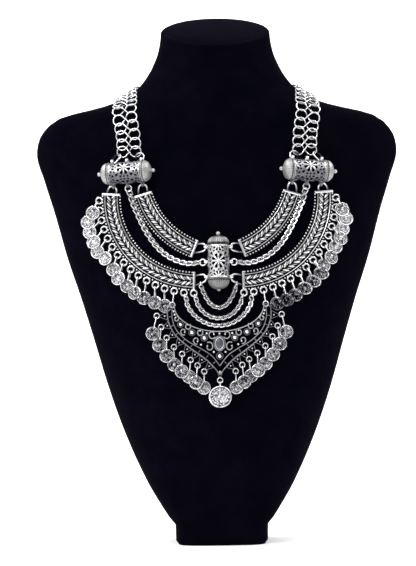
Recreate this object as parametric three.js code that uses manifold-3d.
// A bib choker of antique silver, worn by the plain velvet neck bust that displays it.
//
// Millimetres, +Z up. The origin is the centre of the underside of the bust's foot. The chest faces -Y
// and X runs from the left of the display to its right. The necklace is a closed loop: a band of double
// rings goes from a barrel bead over each shoulder to a clasp behind the neck, and the two barrels carry
// curved plates, chains and coins that meet at a third, upright barrel in the middle of the chest.

import * as THREE from 'three';
import { mergeVertices } from 'three/addons/utils/BufferGeometryUtils.js';
import Module from 'manifold-3d';

const wasm = await Module();
wasm.setup();

const MIRROR = { left: -1, right: 1 };
const DEGREE = Math.PI / 180;
const QUARTER_TURN = Math.PI / 2;

// ---------------------------------------------------------------------------------------------------
// Driving sizes
// ---------------------------------------------------------------------------------------------------

const FIT = 0.3;              // clearance between pieces that touch on the real necklace
const VELVET_GAP = 0.8;       // from the velvet to the back of the metal that lies on it

// Cast loops on the edges of plates, and the wire that goes through them.
const LOOP = { ring: 2.1, wire: 0.5 };
const SMALL_LOOP = { ring: 1.6, wire: 0.45 };
const LOOP_HEIGHT = 2.2;      // centre of a loop's wire above the velvet
const LINK = { reach: 1.35, wire: 0.38 };

const BARREL = {
  radius: 7.5, wall: 1.1, sleeve: 22.4,
  capLength: 6.2, ball: 1.35, neck: 0.7,
  loopRing: 1.6, loopWire: 0.5, loopStep: 10.3, loopRadius: 9.0, loopBack: 25 * DEGREE,
};
const SIDE_BARREL = { x: -60.4, level: 256.3, tilt: 3.3 * DEGREE };
const CENTRE_BARREL = { x: 0, level: 194.6 };

// The cast plates are arcs: centre, centreline radius, and the angles of their two ends, which are
// counted from +X towards +Z. The left ones are given; the right ones mirror them.
const PLATE = {
  base: 1.0, face: 2.3, railTop: 3.3, edge: 6.4, rail: 4.0, railHalf: 0.6,
  barHalf: 4.7, barWire: 0.8, dWire: 0.5, dHalf: 2.9,
};
const LOWER_ARC = { x: -15.4, level: 238.8, radius: 56.9, from: 176.6, to: 268.7, steps: 10, plaits: 12 };
const UPPER_ARC = { x: 5.1, level: 257.9, radius: 58.0, from: 196.4, to: 248.4, steps: 6, plaits: 7 };
const EDGE_LOOPS = { count: 16, radius: 65.2, from: 180.6, step: 5.87 };

const COIN = { radius: 4.7, thick: 1.1, sides: 8, rim: 0.7 };
const LARGE_COIN = { radius: 7.9, thick: 1.5, sides: 14, rim: 1.0 };
const LOW_COIN = 2.0;          // centre of a coin above the velvet, so that its ring clears it
const HIGH_COIN = LOW_COIN + COIN.thick + 0.5;
const TOP_COIN = HIGH_COIN + COIN.thick - 0.2;   // rests on a high coin, over the cast loops
const LEAN = 12 * DEGREE;     // a coin of a pair leans until it touches its partner

const CHAIN = { radius: 1.5, sides: 5, steps: 14, endRing: 2.1, endWire: 0.5 };
const BAND = { half: 8.9, thick: 1.5, ring: 3.5, wire: 0.6, steps: 20 };
const CONNECTOR = { ring: 2.8, wire: 0.35, turn: 52 * DEGREE, dip: 0.3, gap: 0.35 };

// ---------------------------------------------------------------------------------------------------
// Solids: closed meshes, joined and cut
// ---------------------------------------------------------------------------------------------------

const WELD = 1e-4;

function solid(geometry) {
  const bare = geometry.index ? geometry.toNonIndexed() : geometry.clone();
  bare.deleteAttribute('normal');
  bare.deleteAttribute('uv');
  const merged = mergeVertices(bare, WELD);
  return new wasm.Manifold(new wasm.Mesh({
    numProp: 3,
    vertProperties: new Float32Array(merged.attributes.position.array),
    triVerts: new Uint32Array(merged.index.array),
  }));
}

function joined(solids) {
  return solids.reduce((all, next) => all.add(next));
}

function geometryOf(manifold) {
  const { vertProperties, triVerts, numProp } = manifold.getMesh();
  const positions = new Float32Array((vertProperties.length / numProp) * 3);
  for (let i = 0; i < positions.length / 3; i++) {
    for (let axis = 0; axis < 3; axis++) positions[3 * i + axis] = vertProperties[numProp * i + axis];
  }
  const geometry = new THREE.BufferGeometry();
  geometry.setAttribute('position', new THREE.BufferAttribute(positions, 3));
  geometry.setIndex(Array.from(triVerts));
  return geometry;
}

// The mirror image in X, with its faces turned to point outwards again.
function mirrored(geometry) {
  const copy = geometry.clone();
  const position = copy.attributes.position;
  for (let i = 0; i < position.count; i++) position.setX(i, -position.getX(i));
  const index = Array.from(copy.index.array);
  for (let i = 0; i < index.length; i += 3) [index[i + 1], index[i + 2]] = [index[i + 2], index[i + 1]];
  copy.setIndex(index);
  return copy;
}

// A closed skin through a list of rings with equally many points each, capped at both ends.
function loft(rings) {
  const count = rings[0].length;
  const positions = rings.flat().flatMap((point) => [point.x, point.y, point.z]);
  const index = [];
  for (let row = 0; row + 1 < rings.length; row++) {
    for (let i = 0; i < count; i++) {
      const here = row * count + i;
      const next = row * count + ((i + 1) % count);
      index.push(here, next, here + count, next, next + count, here + count);
    }
  }
  for (const [row, outwards] of [[0, false], [rings.length - 1, true]]) {
    const middle = positions.length / 3;
    const centre = new THREE.Vector3();
    for (const point of rings[row]) centre.add(point);
    centre.divideScalar(count);
    positions.push(centre.x, centre.y, centre.z);
    for (let i = 0; i < count; i++) {
      const a = row * count + i;
      const b = row * count + ((i + 1) % count);
      index.push(...(outwards ? [a, b, middle] : [b, a, middle]));
    }
  }
  const geometry = new THREE.BufferGeometry();
  geometry.setAttribute('position', new THREE.Float32BufferAttribute(positions, 3));
  geometry.setIndex(index);
  return geometry;
}

// A wire or chain along a smooth curve through the given points.
function tube(points, radius, sides, steps) {
  const section = new THREE.Shape();
  for (let i = 0; i < sides; i++) {
    const turn = (2 * Math.PI * i) / sides;
    const spot = [radius * Math.cos(turn), radius * Math.sin(turn)];
    if (i === 0) section.moveTo(...spot);
    else section.lineTo(...spot);
  }
  const path = new THREE.CatmullRomCurve3(points, false, 'centripetal');
  return new THREE.ExtrudeGeometry(section, { steps, bevelEnabled: false, extrudePath: path });
}

const WIRE_SIDES = 3;

// A wire ring in its own XY plane. Its sides, not its corners, keep the radius.
function ring(radius, wire, steps = 6) {
  return new THREE.TorusGeometry(radius / Math.cos(Math.PI / steps), wire, WIRE_SIDES, steps);
}

// A long link in its own YZ plane: a ring with four or eight sides, pulled apart along Y.
function longLink(radius, wire, pull, steps = 4) {
  const geometry = ring(radius, wire, steps).rotateZ(Math.PI / steps).rotateY(QUARTER_TURN);
  const position = geometry.attributes.position;
  for (let i = 0; i < position.count; i++) {
    position.setY(i, position.getY(i) + Math.sign(position.getY(i)) * pull);
  }
  return geometry;
}

// Turns a piece so that its own Y runs along `up` and its own Z as near `out` as that allows.
function aim(geometry, up, out, place) {
  const y = up.clone().normalize();
  const x = new THREE.Vector3().crossVectors(y, out).normalize();
  const z = new THREE.Vector3().crossVectors(x, y);
  return geometry.applyMatrix4(new THREE.Matrix4().makeBasis(x, y, z).setPosition(place));
}

// ---------------------------------------------------------------------------------------------------
// The neck bust
// ---------------------------------------------------------------------------------------------------

// Each row is one level of the bust: its height, half its width, how far it reaches in front of and
// behind the shoulder line, and how square its outline is (2 is an ellipse, more is squarer).
const BUST_COLUMNS = ['level', 'half', 'front', 'back', 'squareX', 'squareY'];
const BUST_ROWS = [
  [0, 30.4, 43.4, 42.4, 5, 5],
  [2.4, 32.0, 45.0, 44.0, 5, 5],
  [13.0, 32.2, 45.0, 44.0, 5, 5],
  [16.0, 35.0, 46.5, 44.0, 4, 4],
  [24.0, 40.6, 48.8, 43.0, 3.2, 3.2],
  [43.0, 51.8, 53.0, 41.0, 2.6, 2.6],
  [76.0, 66.5, 57.8, 38.0, 2.3, 2.2],
  [108.0, 77.7, 60.0, 36.0, 2.2, 2.1],
  [143.0, 87.9, 60.0, 35.0, 2.2, 2.0],
  [171.0, 96.3, 59.0, 34.5, 2.2, 2.0],
  [199.0, 105.4, 57.0, 34.5, 2.2, 2.0],
  [230.0, 113.8, 54.5, 35.0, 2.2, 1.95],
  [253.0, 120.8, 52.0, 35.5, 2.1, 1.9],
  [272.0, 126.0, 49.5, 36.0, 2.05, 1.8],
  [280.0, 125.0, 48.5, 36.5, 2.0, 1.75],
  [290.0, 119.4, 47.2, 37.0, 1.95, 1.7],
  [296.8, 110.3, 46.2, 37.4, 1.9, 1.65],
  [300.6, 98.0, 45.4, 37.5, 1.85, 1.65],
  [303.6, 84.0, 44.8, 37.5, 1.85, 1.65],
  [307.3, 71.5, 43.9, 37.5, 1.9, 1.7],
  [311.5, 62.5, 42.8, 37.5, 1.95, 1.8],
  [317.0, 54.8, 41.3, 37.5, 2.0, 1.9],
  [323.5, 49.4, 39.8, 37.4, 2.0, 2.0],
  [332.0, 44.3, 38.3, 37.2, 2.0, 2.0],
  [343.7, 39.8, 37.0, 37.0, 2.0, 2.0],
  [355.6, 38.2, 36.3, 37.0, 2.0, 2.0],
];
const BUST = BUST_ROWS.map((row) => Object.fromEntries(row.map((value, i) => [BUST_COLUMNS[i], value])));
const BUST_SIDES = 22;
const NECK_SLANT = { from: 318, full: 346, rise: 0.33 };  // the neck is cut at a slant, its back higher
const NECK_TOP = [[0.94, 1.6], [0.6, 2.6]];               // share of the rim's size, height above it

// A value of the bust at any height, on a smooth curve that never overshoots the rows.
function bustValue(column, level) {
  const last = BUST.length - 1;
  const z = Math.min(Math.max(level, BUST[0].level), BUST[last].level);
  let i = 0;
  while (i < last - 1 && BUST[i + 1].level < z) i++;
  const slope = (k) => (BUST[k + 1][column] - BUST[k][column]) / (BUST[k + 1].level - BUST[k].level);
  const tangent = (k) => {
    if (k === 0 || k === last) return 0;
    const [below, above] = [slope(k - 1), slope(k)];
    return below * above > 0 ? (2 * below * above) / (below + above) : 0;
  };
  const span = BUST[i + 1].level - BUST[i].level;
  const t = (z - BUST[i].level) / span;
  const [a, b] = [BUST[i][column], BUST[i + 1][column]];
  const [ta, tb] = [tangent(i) * span, tangent(i + 1) * span];
  const rest = 1 - t;
  return (a * (1 + 2 * t) + ta * t) * rest * rest + (b * (3 - 2 * t) - tb * rest) * t * t;
}

function bustAt(level) {
  return Object.fromEntries(BUST_COLUMNS.slice(1).map((column) => [column, bustValue(column, level)]));
}

function bustRing(level, size = 1, lift = 0) {
  const { half, front, back, squareX, squareY } = bustAt(level);
  const slant = NECK_SLANT.rise * THREE.MathUtils.smoothstep(level, NECK_SLANT.from, NECK_SLANT.full);
  const points = [];
  for (let i = 0; i < BUST_SIDES; i++) {
    const turn = (2 * Math.PI * i) / BUST_SIDES;
    const [c, s] = [Math.cos(turn), Math.sin(turn)];
    const x = half * Math.sign(c) * Math.abs(c) ** (2 / squareX) * size;
    const y = (s < 0 ? front : back) * Math.sign(s) * Math.abs(s) ** (2 / squareY) * size;
    points.push(new THREE.Vector3(x, y, level + slant * y + lift));
  }
  return points;
}

function neckBust() {
  const rings = BUST.map((row) => bustRing(row.level));
  const rim = BUST[BUST.length - 1].level;
  for (const [size, lift] of NECK_TOP) rings.push(bustRing(rim, size, lift));
  return loft(rings);
}

// Negative inside the velvet, positive outside.
function bustField(point) {
  const { half, front, back, squareX, squareY } = bustAt(point.z);
  const depth = point.y < 0 ? front : back;
  return Math.abs(point.x / half) ** squareX + Math.abs(point.y / depth) ** squareY - 1;
}

const STEP = 0.2;             // spacing for slopes measured by difference

function bustGradient(point) {
  const slope = new THREE.Vector3();
  for (const axis of ['x', 'y', 'z']) {
    const ahead = point.clone();
    const behind = point.clone();
    ahead[axis] += STEP;
    behind[axis] -= STEP;
    slope[axis] = (bustField(ahead) - bustField(behind)) / (2 * STEP);
  }
  return slope;
}

// The nearest spot on the velvet, and the direction that points away from it there.
function ontoBust(point) {
  const spot = point.clone();
  for (let turn = 0; turn < 12; turn++) {
    const slope = bustGradient(spot);
    spot.addScaledVector(slope, -bustField(spot) / slope.lengthSq());
  }
  return { spot, out: bustGradient(spot).normalize() };
}

// ---------------------------------------------------------------------------------------------------
// Sheets: the pieces of the bib are laid out flat as (x, level, height) and then laid on the chest
// ---------------------------------------------------------------------------------------------------

function chestDepth(x, level) {
  const { half, front, squareX, squareY } = bustAt(level);
  return front * Math.max(0, 1 - Math.abs(x / half) ** squareX) ** (1 / squareY);
}

function chestFrame(x, level) {
  const slopeX = (chestDepth(x + STEP, level) - chestDepth(x - STEP, level)) / (2 * STEP);
  const slopeZ = (chestDepth(x, level + STEP) - chestDepth(x, level - STEP)) / (2 * STEP);
  return {
    foot: new THREE.Vector3(x, -chestDepth(x, level), level),
    across: new THREE.Vector3(1, -slopeX, 0).normalize(),
    out: new THREE.Vector3(-slopeX, -1, -slopeZ).normalize(),
  };
}

function onChest(x, level, height) {
  const { foot, out } = chestFrame(x, level);
  return foot.addScaledVector(out, height);
}

// The pendant is one rigid casting: it lies in the plane that touches the chest below its stone.
const PENDANT_REST = chestFrame(0, 139.3);
const PENDANT_UP = new THREE.Vector3().crossVectors(PENDANT_REST.out, PENDANT_REST.across);
const PENDANT_CLEAR = 0.25;

function onPendant(x, level, height) {
  return PENDANT_REST.foot.clone()
    .addScaledVector(PENDANT_REST.across, x)
    .addScaledVector(PENDANT_UP, level - PENDANT_REST.foot.z)
    .addScaledVector(PENDANT_REST.out, height + PENDANT_CLEAR);
}

function laid(manifold, sheet = onChest) {
  const geometry = geometryOf(manifold);
  const position = geometry.attributes.position;
  for (let i = 0; i < position.count; i++) {
    const spot = sheet(position.getX(i), position.getY(i), position.getZ(i));
    position.setXYZ(i, spot.x, spot.y, spot.z);
  }
  return geometry;
}

// Where a point in space lies on the flat layout of the chest.
function flatSpot(point) {
  const flat = new THREE.Vector3(point.x, point.z, 0);
  for (let turn = 0; turn < 12; turn++) {
    const miss = point.clone().sub(onChest(flat.x, flat.y, flat.z));
    const { across, out } = chestFrame(flat.x, flat.y);
    const up = new THREE.Vector3().crossVectors(out, across);
    flat.add(new THREE.Vector3(miss.dot(across), miss.dot(up), miss.dot(out)));
  }
  return flat;
}

// ---------------------------------------------------------------------------------------------------
// Barrel beads
// ---------------------------------------------------------------------------------------------------

function barrelPlace({ x, level, tilt = 0 }) {
  const { across, out } = chestFrame(x, level);
  const up = new THREE.Vector3().crossVectors(out, across);
  const centre = onChest(x, level, BARREL.radius + VELVET_GAP);
  return new THREE.Matrix4().makeBasis(across, up, out).setPosition(centre)
    .multiply(new THREE.Matrix4().makeRotationZ(tilt));
}

const SIDE_PLACE = barrelPlace(SIDE_BARREL);
const CENTRE_PLACE = barrelPlace({ ...CENTRE_BARREL, tilt: -QUARTER_TURN });

// A barrel lies along its own X. Its loops stand in two rows of three, a little behind its sides.
function barrelLoop(side, step) {
  const { loopRadius, loopBack, loopStep } = BARREL;
  return new THREE.Vector3(
    step * loopStep, side * loopRadius * Math.cos(loopBack), -loopRadius * Math.sin(loopBack),
  );
}

function lathe(profile, segments) {
  return new THREE.LatheGeometry(profile.map(([r, along]) => new THREE.Vector2(r, along)), segments);
}

const SLEEVE_HOLES = { rows: [-5.2, 5.2], around: 3, half: 1.6, length: 3.6 };

const SLEEVE_FACETS = 12;

function barrelSleeve() {
  const { radius, wall, sleeve, loopRing, loopWire } = BARREL;
  const end = sleeve / 2;
  const inner = radius - wall;
  const wallProfile = [[inner, -end], [radius, -end], [radius, end], [inner, end], [inner, -end]];
  const body = lathe(wallProfile, SLEEVE_FACETS);
  body.rotateZ(-QUARTER_TURN);
  let shape = solid(body);
  const { rows, around, half, length } = SLEEVE_HOLES;
  for (const along of rows) {
    for (let i = 0; i < around; i++) {
      const hole = new THREE.CylinderGeometry(half, half, radius, 4);
      hole.scale(length / half, 1, 1).translate(along, radius, 0);
      hole.rotateX(((i + 0.25) * 2 * Math.PI) / around);
      shape = shape.subtract(solid(hole));
    }
  }
  const loops = [-1, 1].flatMap((side) => [-1, 0, 1].map((step) => {
    const { x, y, z } = barrelLoop(side, step);
    return solid(ring(loopRing, loopWire, 5).rotateY(QUARTER_TURN).translate(x, y, z));
  }));
  return joined([shape, ...loops]);
}

const CAP_FACETS = 8;

// The cap's profile runs from the flat that meets the sleeve, over its dome and neck, round its ball.
function barrelCap(end) {
  const { radius, sleeve, capLength, ball, neck } = BARREL;
  const start = sleeve / 2 + FIT;
  const dome = [10, 45, 75].map((turn) => [
    radius * Math.cos(turn * DEGREE), start + 1.8 + (capLength - 1.8) * Math.sin(turn * DEGREE),
  ]);
  const middle = start + capLength + ball;
  const round = [-30, 30].map((turn) => [
    ball * Math.cos(turn * DEGREE), middle + ball * Math.sin(turn * DEGREE),
  ]);
  const profile = [
    [0, start], [radius, start], ...dome, [neck, start + capLength], ...round, [0, middle + ball],
  ];
  const cap = lathe(profile, CAP_FACETS);
  cap.rotateZ(-QUARTER_TURN);
  if (end < 0) cap.rotateY(Math.PI);
  return cap;
}

// ---------------------------------------------------------------------------------------------------
// Cast plates
// ---------------------------------------------------------------------------------------------------

function arcSpot(arc, angle, offset = 0, height = 0) {
  const reach = arc.radius + offset;
  return new THREE.Vector3(
    arc.x + reach * Math.cos(angle * DEGREE), arc.level + reach * Math.sin(angle * DEGREE), height,
  );
}

// The strip of a plate: a flat back, a beaded edge on each side and two raised rails.
function plateStrip(arc) {
  const { base, face, railTop, edge, rail, railHalf } = PLATE;
  const half = [
    [edge, base], [edge, face], [rail + railHalf, face], [rail, railTop], [rail - railHalf, face],
  ];
  const section = [...half.map(([offset, height]) => [-offset, height]), ...half.slice().reverse()];
  const rings = [];
  for (let i = 0; i <= arc.steps; i++) {
    const angle = arc.from + ((arc.to - arc.from) * i) / arc.steps;
    rings.push(section.map(([offset, height]) => arcSpot(arc, angle, offset, height)));
  }
  return solid(loft(rings));
}

const LEAF = { half: 1.75, width: 0.8, rise: 0.8, slope: 40 * DEGREE, offset: 1.5 };

// The plait: pairs of slanting leaves that meet like the grains of an ear of wheat.
function plait(arc) {
  const leaves = [];
  for (let i = 0; i < arc.plaits; i++) {
    const angle = arc.from + ((arc.to - arc.from) * (i + 0.5)) / arc.plaits;
    for (const side of [-1, 1]) {
      const leaf = new THREE.OctahedronGeometry(1, 0);
      leaf.scale(LEAF.half, LEAF.width, LEAF.rise);
      leaf.rotateZ((angle + 90) * DEGREE + side * LEAF.slope);
      const spot = arcSpot(arc, angle, side * LEAF.offset, PLATE.face);
      leaves.push(solid(leaf.translate(spot.x, spot.y, spot.z)));
    }
  }
  return leaves;
}

// The bar that closes an end of a plate.
function endBar(arc, angle) {
  const { barHalf, barWire, base, railTop } = PLATE;
  const bar = new THREE.BoxGeometry(2 * barHalf, 2 * barWire, railTop + 0.2 - base);
  bar.rotateZ(angle * DEGREE);
  const spot = arcSpot(arc, angle, 0, (base + railTop + 0.2) / 2);
  return solid(bar.translate(spot.x, spot.y, spot.z));
}

// The wire loop on an end bar, whose crown hangs in a loop of a barrel: its points from foot to foot.
function barLoopPoints(arc, angle, barrelSpot) {
  const foot = arcSpot(arc, angle, 0, LOOP_HEIGHT);
  const away = foot.clone().sub(barrelSpot).setZ(0).normalize();
  const crown = barrelSpot.clone().addScaledVector(away, LOOP_SLACK);
  const along = new THREE.Vector3(Math.cos(angle * DEGREE), Math.sin(angle * DEGREE), 0);
  const across = new THREE.Vector3(-away.y, away.x, 0);
  if (across.dot(along) < 0) across.negate();
  const strand = (side) => {
    const start = foot.clone().addScaledVector(along, side * PLATE.dHalf);
    const shoulder = start.clone().lerp(crown, 0.45).addScaledVector(across, side * 0.8);
    return [start, shoulder, crown.clone().addScaledVector(across, side * 1.1)];
  };
  return [...strand(-1), ...strand(1).reverse()];
}

function barLoop(arc, angle, barrelSpot) {
  return solid(tube(barLoopPoints(arc, angle, barrelSpot), PLATE.dWire, 4, 9));
}

const LOOP_SLACK = BARREL.loopRing - BARREL.loopWire - PLATE.dWire - FIT;

function sideLoop(side, step) {
  return flatSpot(barrelLoop(side, step).applyMatrix4(SIDE_PLACE));
}

// The centre barrel is turned upright, so its own +Y row of loops faces the right of the display.
function centreLoop(step) {
  return flatSpot(barrelLoop(-1, step).applyMatrix4(CENTRE_PLACE));
}

function edgeLoop(i) {
  const { radius, from, step } = EDGE_LOOPS;
  return arcSpot({ ...LOWER_ARC, radius }, from + i * step, 0, LOOP_HEIGHT);
}

// The lower strand of the right lower plate's loop beside the centre barrel.
function lowerStrand() {
  const points = barLoopPoints(LOWER_ARC, LOWER_ARC.to, centreLoop(1));
  const shoulder = [points[1], points[4]].reduce((low, next) => (next.y < low.y ? next : low));
  return shoulder.clone().setX(-shoulder.x);
}

function lowerPlate() {
  const loops = [];
  for (let i = 0; i < EDGE_LOOPS.count; i++) {
    const { x, y, z } = edgeLoop(i);
    const turned = ring(LOOP.ring, LOOP.wire, 5).rotateZ((EDGE_LOOPS.from + i * EDGE_LOOPS.step) * DEGREE);
    loops.push(solid(turned.translate(x, y, z)));
  }
  return joined([
    plateStrip(LOWER_ARC), ...plait(LOWER_ARC), ...loops,
    endBar(LOWER_ARC, LOWER_ARC.from), endBar(LOWER_ARC, LOWER_ARC.to),
    barLoop(LOWER_ARC, LOWER_ARC.from, sideLoop(-1, -1)),
    barLoop(LOWER_ARC, LOWER_ARC.to, centreLoop(1)),
  ]);
}

function upperPlate() {
  return joined([
    plateStrip(UPPER_ARC), ...plait(UPPER_ARC),
    endBar(UPPER_ARC, UPPER_ARC.from), endBar(UPPER_ARC, UPPER_ARC.to),
    barLoop(UPPER_ARC, UPPER_ARC.from, sideLoop(-1, 1)),
    barLoop(UPPER_ARC, UPPER_ARC.to, centreLoop(-1)),
  ]);
}

// ---------------------------------------------------------------------------------------------------
// The pendant
// ---------------------------------------------------------------------------------------------------

const PENDANT = { back: 0.9, front: 2.1, railTop: 2.8, rail: 0.55 };
const PENDANT_LOOP_HEIGHT = 1.9;
const CRESCENT = { level: 165.5, half: 30.4, drop: 17.8 };
const STONE = { level: 139.3, half: 3.6, tall: 5.0, rise: 2.6, bezel: 0.9, sides: 12 };

// Right half of each rail, from the horn down to the point: x, level.
const INNER_RAIL = [[31.9, 165.2], [32.2, 157.5], [29.4, 149.4], [22.0, 140.7], [11.0, 133.6], [0, 124.0]];
const OUTER_RAIL = [[35.2, 163.6], [35.0, 156.0], [30.6, 145.6], [22.0, 137.0], [9.8, 128.0], [0, 118.0]];

// Tips of the lace outside the outer rail, right half from top to bottom: x, level.
const LACE_TIPS = [
  [41.6, 158.2], [38.7, 150.6], [35.0, 143.4], [30.1, 137.3], [24.6, 132.7], [19.0, 128.8],
  [14.5, 125.2], [10.2, 121.2], [0, 115.2],
];

// Scrolls and bead cups in the field, right half: x, level, outer radius.
const SCROLLS = [
  [4.9, 145.7, 2.7], [7.5, 137.4, 3.0], [13.2, 147.2, 2.1], [15.9, 141.6, 2.1], [21.6, 151.3, 2.0],
  [24.6, 147.6, 2.0], [29.0, 157.0, 1.9],
];
const CUPS = [[26.5, 152.6, 1.7], [18.8, 147.0, 1.9], [10.4, 143.2, 1.9]];
const POINT_CUP = [0, 130.7, 2.0];

// A full curve across the pendant from the points of its right half.
function fullCurve(half, steps) {
  const left = half.map(([x, level]) => new THREE.Vector2(-x, level));
  const right = half.slice(0, -1).reverse().map(([x, level]) => new THREE.Vector2(x, level));
  return new THREE.SplineCurve([...left, ...right]).getPoints(steps);
}

function crescent(steps, grow = 0) {
  const points = [];
  for (let i = 0; i <= steps; i++) {
    const turn = Math.PI * (1 + i / steps);
    points.push(new THREE.Vector2(
      (CRESCENT.half + grow) * Math.cos(turn), CRESCENT.level + (CRESCENT.drop + grow) * Math.sin(turn),
    ));
  }
  return points;
}

function disc(x, y, radius, low, high, sides) {
  const piece = new THREE.CylinderGeometry(radius, radius, high - low, sides);
  return solid(piece.rotateX(QUARTER_TURN).translate(x, y, (low + high) / 2));
}

function bothSides(rows, make) {
  return rows.flatMap(([x, ...rest]) => {
    const right = make(x, ...rest);
    return x === 0 ? [right] : [right, make(-x, ...rest)];
  });
}

const RAIL_STEPS = 12;
const CUT = { ladder: 0.64, lace: 0.5, scroll: 0.9 };     // how much of each cell is cut away

function shrunk(points, share) {
  const middle = new THREE.Vector2();
  for (const point of points) middle.add(point);
  middle.divideScalar(points.length);
  return points.map((point) => point.clone().sub(middle).multiplyScalar(share).add(middle));
}

function roundOutline(x, level, radius, sides) {
  return Array.from({ length: sides }, (_, i) => {
    const turn = (2 * Math.PI * i) / sides;
    return new THREE.Vector2(x + radius * Math.cos(turn), level + radius * Math.sin(turn));
  });
}

function slab(outline, holes, low, high) {
  const shape = new THREE.Shape(outline);
  shape.holes = holes.map((hole) => new THREE.Path(hole));
  const plate = new THREE.ExtrudeGeometry(shape, { depth: high - low, bevelEnabled: false });
  return solid(plate.translate(0, 0, low));
}

// The casting: a crescent field with holes in its scrolls, a ladder of cells between two rails, and
// a border of pierced triangles.
function pendantPlate() {
  const { back, front, railTop, rail } = PENDANT;
  const inner = fullCurve(INNER_RAIL, RAIL_STEPS);
  const outer = fullCurve(OUTER_RAIL, RAIL_STEPS);
  const tips = [...LACE_TIPS.map(([x, level]) => new THREE.Vector2(-x, level)),
    ...LACE_TIPS.slice(0, -1).reverse().map(([x, level]) => new THREE.Vector2(x, level))];
  const valleys = [];
  for (let i = 0; i <= tips.length; i++) {
    const spot = ((RAIL_STEPS - 2) * i) / tips.length + 1;
    const [k, share] = [Math.floor(spot), spot % 1];
    const on = outer[k].clone().lerp(outer[Math.min(k + 1, RAIL_STEPS)], share);
    const away = on.clone().sub(new THREE.Vector2(0, STONE.level)).normalize();
    valleys.push(on.addScaledVector(away, rail));
  }
  const lace = tips.flatMap((tip, i) => [valleys[i], tip]);
  const outline = [...crescent(12).reverse(), inner[0], outer[0], ...lace, valleys[tips.length],
    outer[RAIL_STEPS], inner[RAIL_STEPS]];

  const holes = tips.map((tip, i) => shrunk([tip, valleys[i], valleys[i + 1]], CUT.lace));
  for (let i = 0; i < RAIL_STEPS; i++) {
    holes.push(shrunk([inner[i], outer[i], outer[i + 1], inner[i + 1]], CUT.ladder));
  }
  holes.push(...bothSides(SCROLLS, (x, level, radius) => roundOutline(x, level, radius - CUT.scroll, 5)));

  const oval = (grow) => roundOutline(0, 0, 1, 12).map(({ x, y }) => (
    new THREE.Vector2(x * (STONE.half + grow), STONE.level + y * (STONE.tall + grow))));
  return joined([
    slab(outline, holes, back, front),
    slab(oval(STONE.bezel), [oval(FIT)], back + FIT, railTop + 0.4),
    ...bothSides([...CUPS, POINT_CUP], (x, level, radius) => disc(x, level, radius, back + FIT, railTop, 6)),
    ...bothSides(LACE_TIPS, (x, level) => {
      const eye = pendantEye(x, level);
      return solid(ring(SMALL_LOOP.ring, SMALL_LOOP.wire, 5).translate(eye.x, eye.y, PENDANT_LOOP_HEIGHT));
    }),
    ...hornRings(),
  ]);
}

// The eye at a tip of the lace stands just beyond it.
function pendantEye(x, level) {
  const away = new THREE.Vector2(x, level - STONE.level).normalize();
  return new THREE.Vector2(x, level).addScaledVector(away, SMALL_LOOP.ring * 0.6);
}

// The pendant hangs from the third-last cast loops: a ring and a long link are soldered to each horn.
const HORN = { x: 31.9, level: 166.0 };

function pendantSpot(point) {
  const from = point.clone().sub(PENDANT_REST.foot);
  return new THREE.Vector3(
    from.dot(PENDANT_REST.across), from.dot(PENDANT_UP) + PENDANT_REST.foot.z,
    from.dot(PENDANT_REST.out) - PENDANT_CLEAR,
  );
}

function hornRings() {
  const { x, y, z } = edgeLoop(EDGE_LOOPS.count - 3);
  const loop = pendantSpot(onChest(x, y, z));
  const horn = new THREE.Vector3(-HORN.x, HORN.level, PENDANT_LOOP_HEIGHT);
  const down = horn.clone().sub(loop).normalize();
  const top = loop.clone().addScaledVector(down, LOOP.ring - LOOP.wire - LINK.wire - FIT);
  const bottom = horn.clone().addScaledVector(down, -SMALL_LOOP.ring);
  const pull = Math.max(top.distanceTo(bottom) / 2 - LINK.reach, 0);
  const link = solid(aim(
    longLink(LINK.reach, LINK.wire, pull), down, new THREE.Vector3(0, 0, 1), top.clone().lerp(bottom, 0.5),
  ));
  const eye = ring(SMALL_LOOP.ring, SMALL_LOOP.wire).translate(horn.x, horn.y, horn.z);
  const left = solid(eye).add(link);
  return [left, solid(mirrored(geometryOf(left)))];
}

function stone() {
  const { half, tall, rise } = STONE;
  const rows = [[1, 0], [1, 0.35], [0.8, 0.75], [0.45, 0.95]];
  const rings = rows.map(([size, height]) => {
    const points = [];
    for (let i = 0; i < STONE.sides; i++) {
      const turn = (2 * Math.PI * i) / STONE.sides;
      points.push(new THREE.Vector3(
        half * size * Math.cos(turn), STONE.level + tall * size * Math.sin(turn),
        PENDANT.front + FIT + height * rise,
      ));
    }
    return points;
  });
  return solid(loft(rings));
}

// ---------------------------------------------------------------------------------------------------
// Coins
// ---------------------------------------------------------------------------------------------------

function hungCentre({ from, swing, reach, height }) {
  return new THREE.Vector3(from.x + reach * Math.sin(swing), from.y - reach * Math.cos(swing), height);
}

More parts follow.
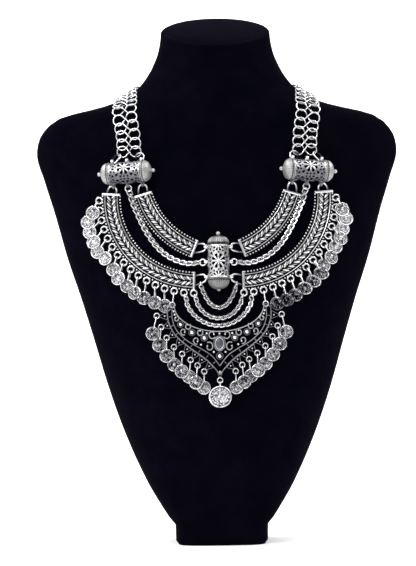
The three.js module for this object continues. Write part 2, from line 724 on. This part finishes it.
// A coin that hangs from a cast loop by its long jump ring. `swing` turns it outwards from straight
// down, `reach` is the distance between the centres of loop and coin, and a coin with a partner leans
// until its rim touches it.
function coin({ from, loop, swing, reach, height, partner, size = COIN }) {
  const centre = hungCentre({ from, swing, reach, height });
  const down = new THREE.Vector3(Math.sin(swing), -Math.cos(swing), 0);
  const lean = new THREE.Quaternion();
  if (partner) {
    const towards = hungCentre(partner).sub(centre).setZ(0).normalize();
    lean.setFromAxisAngle(new THREE.Vector3(-towards.y, towards.x, 0), LEAN);
  }
  const top = from.clone().addScaledVector(down, loop.ring - loop.wire - LINK.wire - FIT);
  const bottom = down.clone().multiplyScalar(-(size.radius - size.rim)).applyQuaternion(lean).add(centre);
  const pull = Math.max(top.distanceTo(bottom) / 2 - LINK.reach, 0);
  const link = aim(
    longLink(LINK.reach, LINK.wire, pull), top.clone().sub(bottom), new THREE.Vector3(0, 0, 1),
    top.clone().lerp(bottom, 0.5),
  );
  const outline = new THREE.Shape(roundOutline(0, 0, size.radius, size.sides));
  const blank = new THREE.ExtrudeGeometry(outline, { depth: size.thick, bevelEnabled: false });
  blank.translate(0, 0, -size.thick / 2).applyQuaternion(lean).translate(centre.x, centre.y, centre.z);
  return joined([solid(blank), solid(link)]);
}

// How the coins of the lower plates hang, from the barrel down to the pendant:
// swing in degrees and reach on the left, then on the right.
const HANG_COLUMNS = ['leftSwing', 'leftReach', 'rightSwing', 'rightReach'];
const HANG_ROWS = [
  [22, 8.6, 20, 8.4],
  [44, 10.6, 40, 9.6],
  [46, 11.4, 36, 9.8],
  [38, 10.4, 32, 9.4],
  [38, 11.4, 32, 9.0],
  [28, 8.6, 24, 9.6],
  [17, 10.2, 18, 9.4],
  [17, 11.0, 26, 9.9],
  [13, 11.6, 22, 10.2],
  [10, 11.9, 17, 10.5],
  [9, 11.9, 12, 11.1],
  [0, 11.9, 12, 11.3],
  [0, 11.8, 10, 11.3],
];
const HANGS = HANG_ROWS.map((row) => Object.fromEntries(row.map((value, i) => [HANG_COLUMNS[i], value])));

function plateHang(side, i) {
  const from = edgeLoop(i);
  return {
    from: from.setX(-MIRROR[side] * from.x),
    loop: LOOP,
    swing: MIRROR[side] * HANGS[i][`${side}Swing`] * DEGREE,
    reach: HANGS[i][`${side}Reach`],
    height: i === 0 ? TOP_COIN : [LOW_COIN, HIGH_COIN][i % 2],
  };
}

function plateCoins(side, i) {
  const first = plateHang(side, i);
  if (i + 1 === HANGS.length) return coin(first);
  const second = plateHang(side, i + 1);
  return coin(first).add(coin(i === 0 ? second : { ...second, partner: first }));
}

// Pendant coins hang almost straight down. Right half from the horn: swing and reach.
const PENDANT_HANGS = [
  [14, 12.4], [7, 12.4], [1, 12.2], [0, 12.0], [2, 11.8], [6, 11.4], [6, 11.6], [2, 11.0],
];
const LARGE_REACH = 11.2;

// ---------------------------------------------------------------------------------------------------
// Chains
// ---------------------------------------------------------------------------------------------------

const CHAIN_HEIGHT = VELVET_GAP + CHAIN.radius;

// A curb chain along its route, joined to the rings or links at its ends.
function chain(route, ends) {
  const points = route.map(([x, level, height = CHAIN_HEIGHT]) => new THREE.Vector3(x, level, height));
  return joined([solid(tube(points, CHAIN.radius, CHAIN.sides, CHAIN.steps)), ...ends]);
}

// Left middle chain, between the plates, from its upper ring to its lower one: x, level.
const MIDDLE_ROUTE = [
  [-57.4, 235.6], [-55.2, 230.4], [-52.4, 223.8], [-49.2, 217.4], [-45.4, 211.0],
  [-41.2, 205.4], [-36.2, 200.6], [-30.6, 197.0], [-25.0, 194.8], [-19.6, 193.8],
];

function middleChain() {
  const hang = LOOP_SLACK + CHAIN.endRing;
  const upper = sideLoop(-1, 0).add(new THREE.Vector3(0.2, -hang, 0));
  const lower = centreLoop(0).add(new THREE.Vector3(-hang, -0.2, 0));
  const ends = [upper, lower].map(({ x, y, z }) => (
    solid(ring(CHAIN.endRing, CHAIN.endWire).translate(x, y, z))));
  const start = [upper.x + 0.6, upper.y - CHAIN.endRing, upper.z];
  const end = [lower.x - CHAIN.endRing, lower.y, lower.z];
  return chain([start, ...MIDDLE_ROUTE, end], ends);
}

// Right half of each drape chain, below its end link down to its lowest point: x, level.
const DRAPES = [
  { route: [[10.4, 174.4], [8.2, 169.8], [5.2, 165.8], [0, 163.6]], swing: -8 },
  { route: [[14.6, 166.4], [10.4, 160.6], [5.4, 157.4], [0, 156.4]], swing: -24 },
  { route: [[21.4, 165.6], [17.0, 159.0], [11.6, 154.6], [6.0, 152.2], [0, 151.4]], swing: -24 },
];
const DRAPE_LINK = 2 * LINK.reach;

// The wire that each drape chain hangs from: the lower loop beside the centre barrel, then the last
// two cast loops of the lower plate.
function drapeWire(i, down) {
  if (i === 0) return lowerStrand();
  const from = edgeLoop(i === 1 ? EDGE_LOOPS.count - 1 : EDGE_LOOPS.count - 2);
  return from.setX(-from.x).addScaledVector(down, LOOP.ring);
}

function drapeChain({ route, swing }, i) {
  const down = new THREE.Vector3(Math.sin(swing * DEGREE), -Math.cos(swing * DEGREE), 0);
  const top = drapeWire(i, down).addScaledVector(down, -(LOOP.wire + LINK.wire + FIT));
  const bottom = top.clone().addScaledVector(down, DRAPE_LINK);
  const link = solid(aim(
    longLink(LINK.reach, LINK.wire, 0), down, new THREE.Vector3(0, 0, 1), top.clone().lerp(bottom, 0.5),
  ));
  const half = [[bottom.x, bottom.y, bottom.z], ...route];
  const flipped = half.map(([x, ...rest]) => [-x, ...rest]);
  const otherLink = solid(mirrored(geometryOf(link)));
  return chain([...flipped, ...half.slice(0, -1).reverse()], [link, otherLink]);
}

// ---------------------------------------------------------------------------------------------------
// Neck chain and clasp
// ---------------------------------------------------------------------------------------------------

// Left half of the band's route, from the barrel over the shoulder to the clasp.
const BAND_ROUTE = [
  [-60.0, -44, 273.4], [-60.8, -42, 284], [-61.6, -35, 293], [-61.8, -27, 301], [-61.6, -16, 308],
  [-61.6, -5, 312], [-60.2, 7, 313], [-56.4, 18, 314], [-48.5, 27, 314.5], [-37, 34, 315],
  [-23, 38, 315.5], [-9.4, 39.5, 316],
];
const BAND_LIFT = 2.3;
const CLASP = { half: 8.8, tall: 4.2, thick: 2.2 };

function bandRings() {
  const spots = BAND_ROUTE.map((spot) => new THREE.Vector3(...spot));
  const path = new THREE.CatmullRomCurve3(spots, false, 'centripetal');
  const rings = [];
  for (let i = 0; i <= BAND.steps; i++) {
    const share = i / BAND.steps;
    const { spot, out } = ontoBust(path.getPointAt(share));
    const along = path.getTangentAt(share);
    along.addScaledVector(out, -along.dot(out)).normalize();
    const across = new THREE.Vector3().crossVectors(out, along);
    const middle = spot.clone().addScaledVector(out, BAND_LIFT);
    rings.push([[1, 1], [-1, 1], [-1, -1], [1, -1]].map(([side, face]) => middle.clone()
      .addScaledVector(across, side * BAND.half).addScaledVector(out, (face * BAND.thick) / 2)));
  }
  return rings;
}

// The last double ring of the band, open like the real one, takes the two connecting rings.
const LAST_RINGS = { outer: [-64.7, 271.0], inner: [-54.8, 271.4] };

function neckChain() {
  const band = solid(loft(bandRings()));
  const rings = Object.values(LAST_RINGS).map(([x, level]) => {
    const piece = ring(BAND.ring, BAND.wire, 8).translate(x, level, BAND_LIFT);
    return solid(laid(solid(piece)));
  });
  return joined([band, ...rings]);
}

// A connecting ring holds one ring of the band to an upper loop of the barrel, turned out of its plane.
function connector(step, lastRing) {
  const from = sideLoop(1, step);
  const to = new THREE.Vector3(...lastRing, BAND_LIFT - CONNECTOR.dip);
  const line = to.clone().sub(from);
  const way = line.clone().normalize();
  const lowGap = BARREL.loopRing - BARREL.loopWire - CONNECTOR.wire - CONNECTOR.gap;
  const start = from.clone().addScaledVector(way, -lowGap);
  const end = to.clone().addScaledVector(way, -(BAND.ring - BAND.wire - CONNECTOR.wire - CONNECTOR.gap));
  const pull = Math.max(start.distanceTo(end) / 2 - CONNECTOR.ring, 0);
  const piece = longLink(CONNECTOR.ring, CONNECTOR.wire, pull, 8);
  const out = new THREE.Vector3(0, 0, 1).applyAxisAngle(way, QUARTER_TURN - CONNECTOR.turn);
  return solid(aim(piece, way, out, start.clone().lerp(end, 0.5)));
}

function clasp() {
  const { spot, out } = ontoBust(new THREE.Vector3(0, BAND_ROUTE.at(-1)[1], BAND_ROUTE.at(-1)[2]));
  const outline = new THREE.Shape();
  const { half, tall, thick } = CLASP;
  outline.absellipse(0, 0, half, tall, 0, 2 * Math.PI);
  const piece = new THREE.ExtrudeGeometry(outline, { depth: thick, bevelEnabled: false, curveSegments: 8 });
  const place = spot.clone().addScaledVector(out, BAND_LIFT - thick / 2);
  return aim(piece, new THREE.Vector3(0, 0, 1), out, place);
}

// ---------------------------------------------------------------------------------------------------
// The assembly
// ---------------------------------------------------------------------------------------------------

const SILVER = new THREE.MeshStandardMaterial({ color: 0xa9a9ab, roughness: 0.34, metalness: 1 });
const SATIN = new THREE.MeshStandardMaterial({ color: 0xb4b4b6, roughness: 0.5, metalness: 1 });
const VELVET = new THREE.MeshStandardMaterial({ color: 0x0c0b10, roughness: 1, metalness: 0 });
const STONE_BLUE = new THREE.MeshStandardMaterial({ color: 0x77798a, roughness: 0.25, metalness: 0 });

const group = new THREE.Group();

function piece(name, geometry, material) {
  const mesh = new THREE.Mesh(geometry, material);
  mesh.name = name;
  group.add(mesh);
}

function pair(name, geometry, material) {
  piece(`left_${name}`, geometry, material);
  piece(`right_${name}`, mirrored(geometry), material);
}

piece('neck_bust', neckBust(), VELVET);

const sleeve = barrelSleeve();
for (const [name, place, both] of [['barrel', SIDE_PLACE, true], ['centre_barrel', CENTRE_PLACE, false]]) {
  const put = both ? pair : piece;
  put(`${name}_sleeve`, geometryOf(sleeve).applyMatrix4(place), SILVER);
  for (const [end, side] of [['cap_a', -1], ['cap_b', 1]]) {
    put(`${name}_${end}`, geometryOf(solid(barrelCap(side))).applyMatrix4(place), SATIN);
  }
}

pair('lower_plate', laid(lowerPlate()), SILVER);
pair('upper_plate', laid(upperPlate()), SILVER);
pair('middle_chain', laid(middleChain()), SILVER);
pair('neck_chain', geometryOf(neckChain()), SILVER);
pair('connector_outer', laid(connector(-1, LAST_RINGS.outer)), SILVER);
pair('connector_inner', laid(connector(1, LAST_RINGS.inner)), SILVER);
piece('clasp', clasp(), SATIN);

DRAPES.forEach((drape, i) => piece(`drape_chain_${i + 1}`, laid(drapeChain(drape, i)), SILVER));

piece('pendant_plate', laid(pendantPlate(), onPendant), SILVER);
piece('cabochon', laid(stone(), onPendant), STONE_BLUE);

for (const side of ['left', 'right']) {
  for (let i = 0; i < HANGS.length; i += 2) {
    piece(`${side}_coins_${1 + i / 2}`, laid(plateCoins(side, i)), SILVER);
  }
}

const tips = PENDANT_HANGS.length;
for (let i = 0; i <= 2 * tips; i++) {
  const side = i < tips ? -1 : 1;
  const row = i < tips ? i : 2 * tips - i;
  const middle = i === tips;
  const [x, level] = LACE_TIPS[row];
  const eye = pendantEye(side * x, level);
  const [swing, reach] = middle ? [0, LARGE_REACH] : PENDANT_HANGS[row];
  const hung = coin({
    from: new THREE.Vector3(eye.x, eye.y, PENDANT_LOOP_HEIGHT),
    loop: SMALL_LOOP,
    swing: side * swing * DEGREE,
    reach,
    height: (middle || row % 2 === 0 ? HIGH_COIN : LOW_COIN),
    size: middle ? LARGE_COIN : COIN,
  });
  piece(`pendant_coin_${String(i + 1).padStart(2, '0')}`, laid(hung, onPendant), SILVER);
}

export default group;
